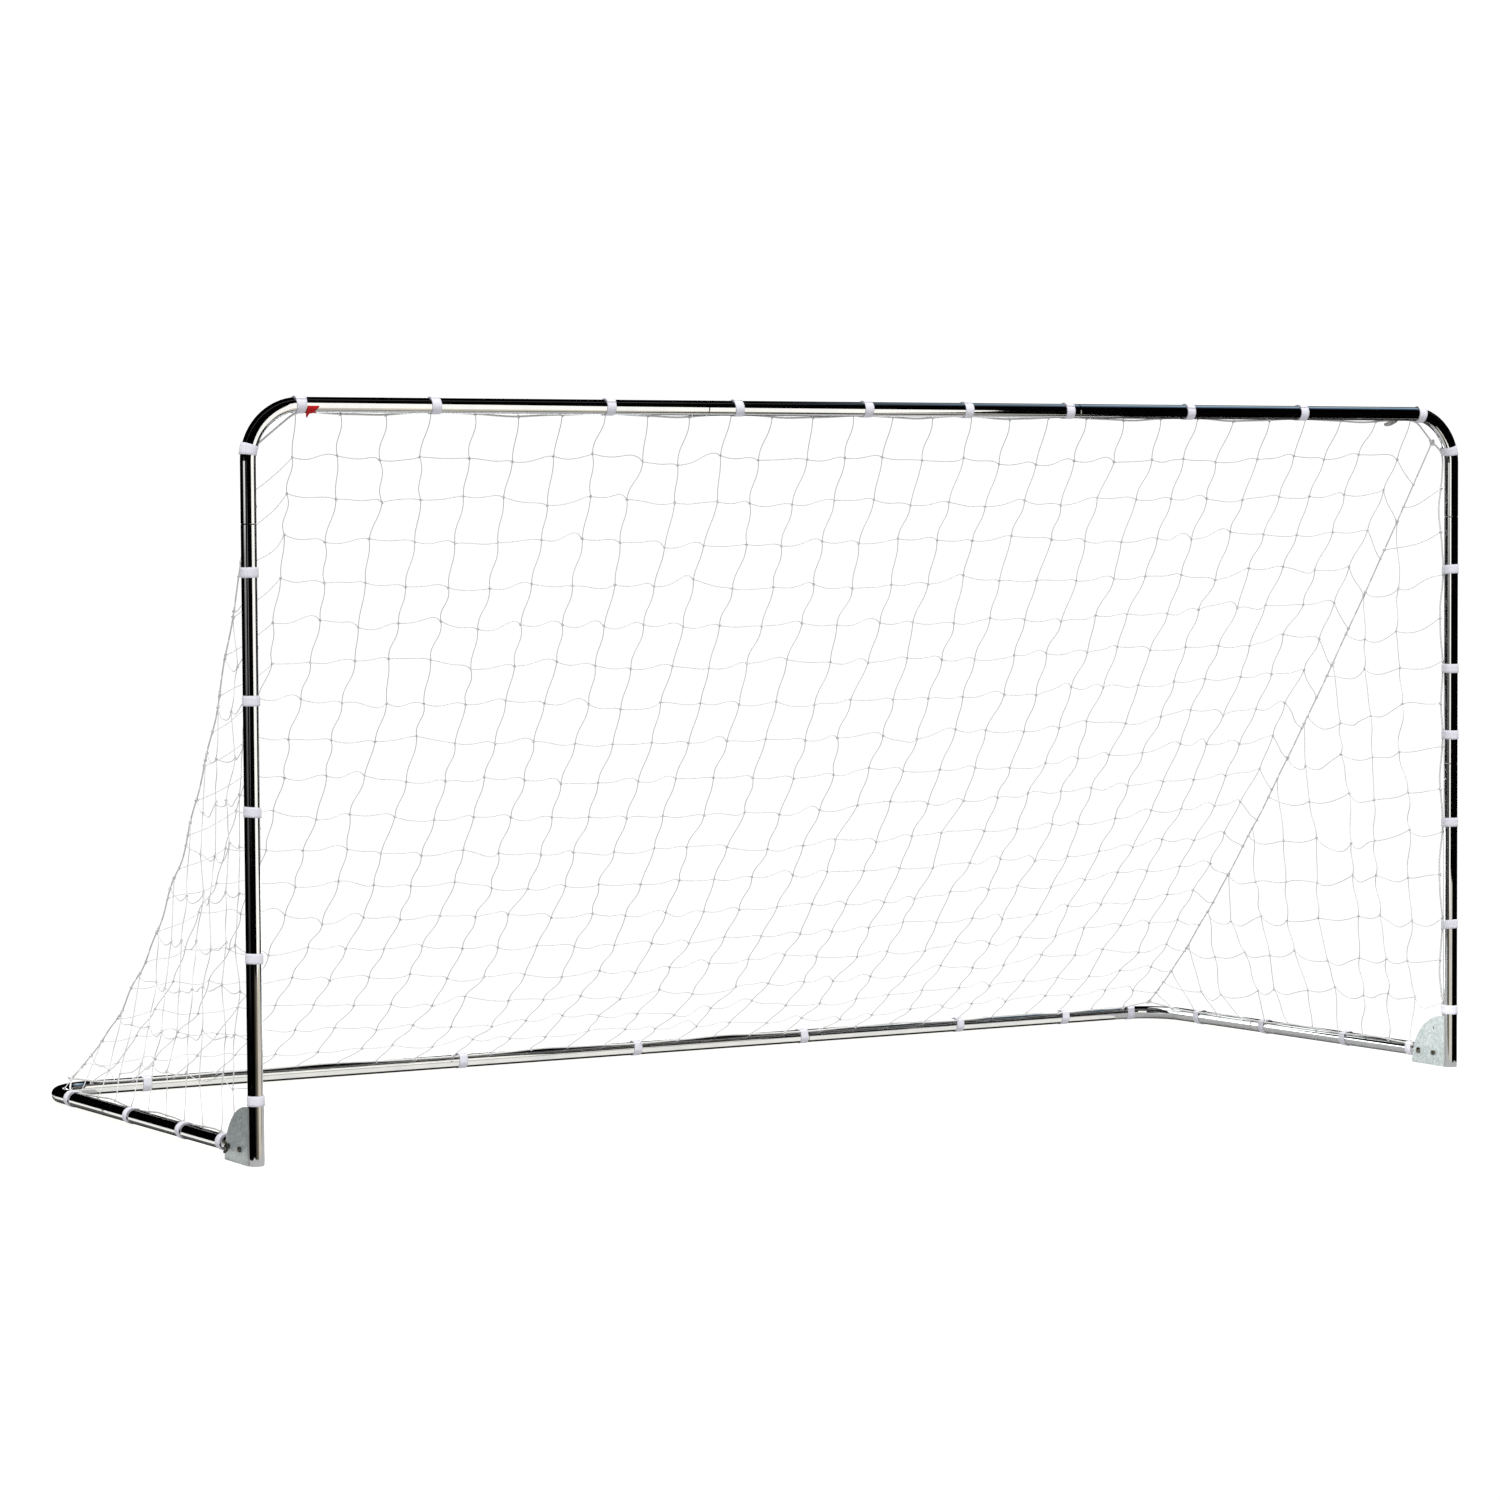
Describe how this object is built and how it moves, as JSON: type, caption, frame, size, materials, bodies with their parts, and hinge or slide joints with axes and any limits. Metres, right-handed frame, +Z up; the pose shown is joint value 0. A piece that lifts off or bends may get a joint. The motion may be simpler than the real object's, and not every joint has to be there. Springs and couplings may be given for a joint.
{
  "type": "folding soccer goal frame",
  "caption": "Folding steel-tube soccer goal: bent-corner front frame, hinged floor base, snap-together tubes, strapped slack twine net.",
  "frame": {"origin": "on the floor, in the middle of the footprint", "axes": "+X along the crossbar to the right seen from the pitch, +Y from the goal mouth to the back of the net, +Z up"},
  "size_m": [3.7002, 1.4912, 1.8483],
  "materials": {
    "tube": "polished",
    "plate": "satin",
    "weld": "matte",
    "fastener": "satin",
    "button": "polished",
    "spring": "satin",
    "strap": "matte",
    "rope": "matte",
    "twine": "matte",
    "ribbon": "satin"
  },
  "bodies": {
    "front_frame": {"crossbar": "tube", "top_elbow_left": "tube", "top_elbow_right": "tube", "mid_post_left": "tube", "mid_post_right": "tube", "foot_post_left": "tube", "foot_post_right": "tube", "hinge_plate_outer_left": "plate", "hinge_plate_inner_left": "plate", "hinge_plate_outer_right": "plate", "hinge_plate_inner_right": "plate", "bracket_welds": "weld", "pivot_bolts": "fastener", "pivot_nuts": "fastener", "front_spring_clips": "spring", "crossbar_straps": "strap", "post_straps_left": "strap", "post_straps_right": "strap", "border_rope_front": "rope", "net_back": "twine", "net_side_left": "twine", "net_side_right": "twine", "seam_rope_left": "rope", "seam_rope_right": "rope", "corner_markers": "ribbon"},
    "base_frame": {"back_bar": "tube", "base_side_left": "tube", "base_side_right": "tube", "rear_corner_left": "tube", "rear_corner_right": "tube", "base_spring_clips": "spring", "back_bar_straps": "strap", "side_straps_left": "strap", "side_straps_right": "strap", "border_rope_base": "rope"},
    "lock_bolt_left": {"lock_bolt_left": "fastener"},
    "wing_nut_left": {"wing_nut_left": "fastener"},
    "button_crossbar_left": {"button_crossbar_left": "button"},
    "button_upper_post_left": {"button_upper_post_left": "button"},
    "button_lower_post_left": {"button_lower_post_left": "button"},
    "button_back_bar_left": {"button_back_bar_left": "button"},
    "button_side_left": {"button_side_left": "button"},
    "lock_bolt_right": {"lock_bolt_right": "fastener"},
    "wing_nut_right": {"wing_nut_right": "fastener"},
    "button_crossbar_right": {"button_crossbar_right": "button"},
    "button_upper_post_right": {"button_upper_post_right": "button"},
    "button_lower_post_right": {"button_lower_post_right": "button"},
    "button_back_bar_right": {"button_back_bar_right": "button"},
    "button_side_right": {"button_side_right": "button"}
  },
  "joints": [
    {"name": "base_fold", "type": "hinge", "parent": "front_frame", "child": "base_frame", "pos_m": [0, -0.6795, 0.036], "axis": [1, 0, 0], "range_deg": [0, 90], "deforming": ["net_back", "net_side_left", "net_side_right", "seam_rope_left", "seam_rope_right"]},
    {"name": "lock_bolt_left_pull", "type": "slide", "parent": "front_frame", "child": "lock_bolt_left", "axis": [1, 0, 0], "range_m": [0, 0.06]},
    {"name": "wing_nut_left_turn", "type": "hinge", "parent": "front_frame", "child": "wing_nut_left", "pos_m": [-1.83745, -0.6095, 0.03526], "axis": [-1, 0, 0], "continuous": true},
    {"name": "button_crossbar_left_press", "type": "slide", "parent": "front_frame", "child": "button_crossbar_left", "axis": [0, 0, -1], "range_m": [-0.0048, 0], "stiffness_N_per_m": 900, "deforming": ["front_spring_clips"]},
    {"name": "button_upper_post_left_press", "type": "slide", "parent": "front_frame", "child": "button_upper_post_left", "axis": [1, 0, 0], "range_m": [-0.0048, 0], "stiffness_N_per_m": 900},
    {"name": "button_lower_post_left_press", "type": "slide", "parent": "front_frame", "child": "button_lower_post_left", "axis": [1, 0, 0], "range_m": [-0.0048, 0], "stiffness_N_per_m": 900},
    {"name": "button_back_bar_left_press", "type": "slide", "parent": "base_frame", "child": "button_back_bar_left", "axis": [0, -0.9999, 0.0106], "range_m": [-0.0048, 0], "stiffness_N_per_m": 900},
    {"name": "button_side_left_press", "type": "slide", "parent": "base_frame", "child": "button_side_left", "axis": [-1, 0, 0], "range_m": [-0.0048, 0], "stiffness_N_per_m": 900, "deforming": ["base_spring_clips"]},
    {"name": "lock_bolt_right_pull", "type": "slide", "parent": "front_frame", "child": "lock_bolt_right", "axis": [-1, 0, 0], "range_m": [0, 0.06]},
    {"name": "wing_nut_right_turn", "type": "hinge", "parent": "front_frame", "child": "wing_nut_right", "pos_m": [1.83745, -0.6095, 0.03526], "axis": [1, 0, 0], "continuous": true},
    {"name": "button_crossbar_right_press", "type": "slide", "parent": "front_frame", "child": "button_crossbar_right", "axis": [0, 0, -1], "range_m": [-0.0048, 0], "stiffness_N_per_m": 900},
    {"name": "button_upper_post_right_press", "type": "slide", "parent": "front_frame", "child": "button_upper_post_right", "axis": [-1, 0, 0], "range_m": [-0.0048, 0], "stiffness_N_per_m": 900},
    {"name": "button_lower_post_right_press", "type": "slide", "parent": "front_frame", "child": "button_lower_post_right", "axis": [-1, 0, 0], "range_m": [-0.0048, 0], "stiffness_N_per_m": 900},
    {"name": "button_back_bar_right_press", "type": "slide", "parent": "base_frame", "child": "button_back_bar_right", "axis": [0, -0.9999, 0.0106], "range_m": [-0.0048, 0], "stiffness_N_per_m": 900},
    {"name": "button_side_right_press", "type": "slide", "parent": "base_frame", "child": "button_side_right", "axis": [1, 0, 0], "range_m": [-0.0048, 0], "stiffness_N_per_m": 900}
  ]
}
